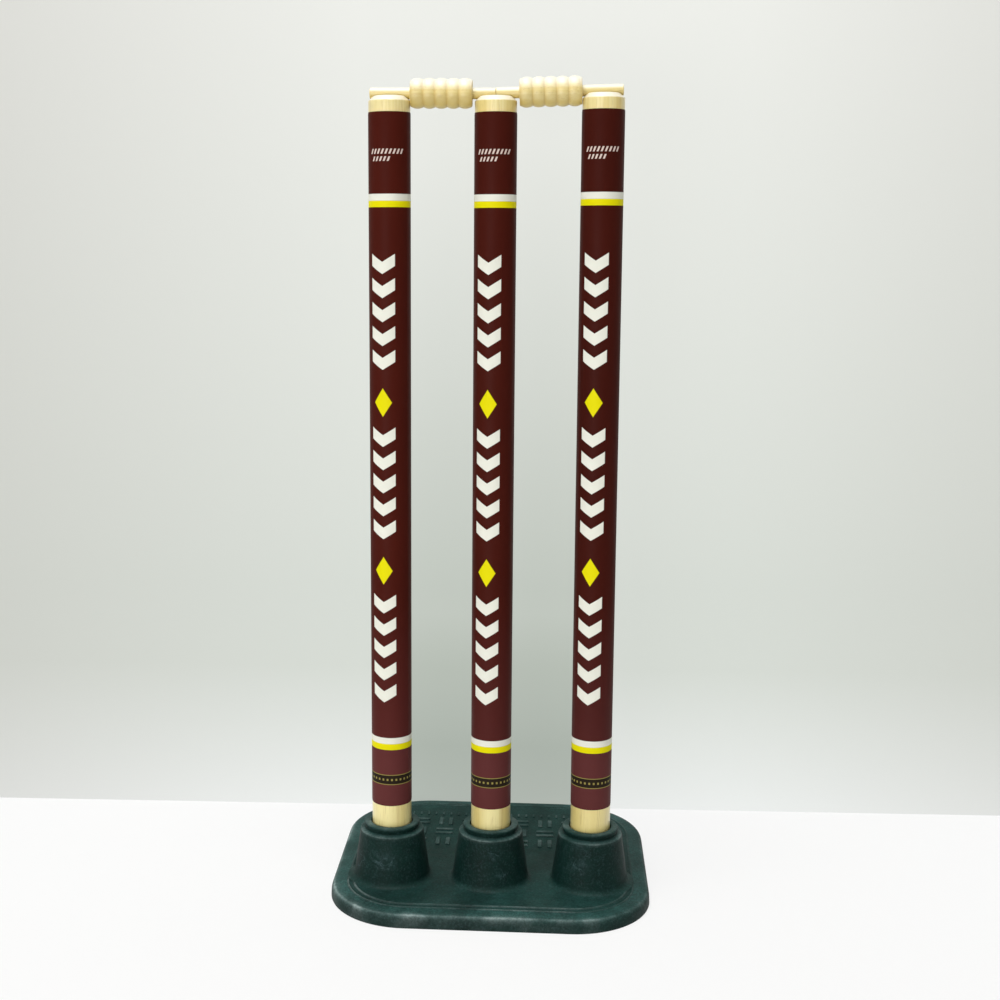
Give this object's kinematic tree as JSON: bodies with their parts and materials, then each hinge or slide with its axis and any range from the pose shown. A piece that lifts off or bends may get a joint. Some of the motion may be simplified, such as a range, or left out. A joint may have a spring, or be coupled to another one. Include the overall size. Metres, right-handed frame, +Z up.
{
  "type": "cricket stumps",
  "caption": "Free-standing indoor cricket wicket: wooden stumps in glossy film sleeves, pushed into the sockets of a flat rubber base, with turned bails in the grooves on their tops.",
  "frame": {"origin": "on the floor under the middle stump's axis, on the flat underside of the base", "axes": "+X along the wicket from the left stump to the right one, +Y towards the long back part of the base, +Z up along the stumps"},
  "size_m": [0.305, 0.287, 0.7656],
  "materials": {
    "rubber": "dark green moulded rubber, satin, with pale scuffs and a worn edge",
    "stump_wood": "pale turned hardwood with a straight grain and a thin clear lacquer",
    "printed_film": "glossy maroon film with white, yellow and black printed bands and plain bars",
    "bail_wood": "pale turned hardwood, lacquered"
  },
  "bodies": {
    "base": {"rubber_base": "rubber"},
    "middle_stump": {"stump_middle": "stump_wood", "sleeve_middle": "printed_film"},
    "left_stump": {"stump_left": "stump_wood", "sleeve_left": "printed_film"},
    "right_stump": {"stump_right": "stump_wood", "sleeve_right": "printed_film"},
    "left_bail": {"bail_left": "bail_wood"},
    "right_bail": {"bail_right": "bail_wood"}
  },
  "joints": [
    {"name": "middle_stump_pull", "type": "slide", "parent": "base", "child": "middle_stump", "axis": [0, 0, 1], "range_m": [0, 0.07]},
    {"name": "left_stump_pull", "type": "slide", "parent": "middle_stump", "child": "left_stump", "axis": [0, 0, 1], "range_m": [0, 0.07]},
    {"name": "right_stump_pull", "type": "slide", "parent": "middle_stump", "child": "right_stump", "axis": [0, 0, 1], "range_m": [0, 0.07]},
    {"name": "left_bail_lift", "type": "slide", "parent": "left_stump", "child": "left_bail", "axis": [0, 0, 1], "range_m": [0, 0.04]},
    {"name": "right_bail_lift", "type": "slide", "parent": "right_stump", "child": "right_bail", "axis": [0, 0, 1], "range_m": [0, 0.04]}
  ]
}
